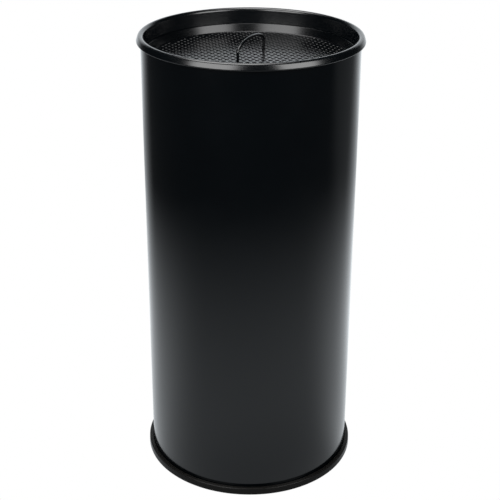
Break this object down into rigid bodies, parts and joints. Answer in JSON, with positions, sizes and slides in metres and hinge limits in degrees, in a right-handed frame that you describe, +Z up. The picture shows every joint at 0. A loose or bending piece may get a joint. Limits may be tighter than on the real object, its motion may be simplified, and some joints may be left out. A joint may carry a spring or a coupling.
{
  "type": "umbrella stand with ash insert",
  "caption": "Tall round sheet-steel stand on a base ring, closed by a lift-out sand bowl with a rolled rim and a perforated sieve with a wire handle.",
  "frame": {"origin": "on the ground, at the centre of the base ring", "axes": "+Z up along the tube's axis, +X along the span of the wire handle"},
  "size_m": [0.2424, 0.2424, 0.5],
  "materials": {
    "body_paint": "semi-gloss black paint on sheet steel",
    "sieve_paint": "semi-gloss black paint on perforated steel and wire",
    "ring_plastic": "satin black moulded plastic"
  },
  "bodies": {
    "stand": {"stand_tube": "body_paint", "floor_pan": "body_paint", "base_ring": "ring_plastic"},
    "bowl": {"sand_bowl": "body_paint"},
    "sieve": {"sieve_plate": "sieve_paint", "sieve_handle": "sieve_paint"}
  },
  "joints": [
    {"name": "bowl_lift", "type": "slide", "parent": "stand", "child": "bowl", "axis": [0, 0, 1], "range_m": [0, 0.14]},
    {"name": "sieve_lift", "type": "slide", "parent": "bowl", "child": "sieve", "axis": [0, 0, 1], "range_m": [0, 0.1]}
  ]
}
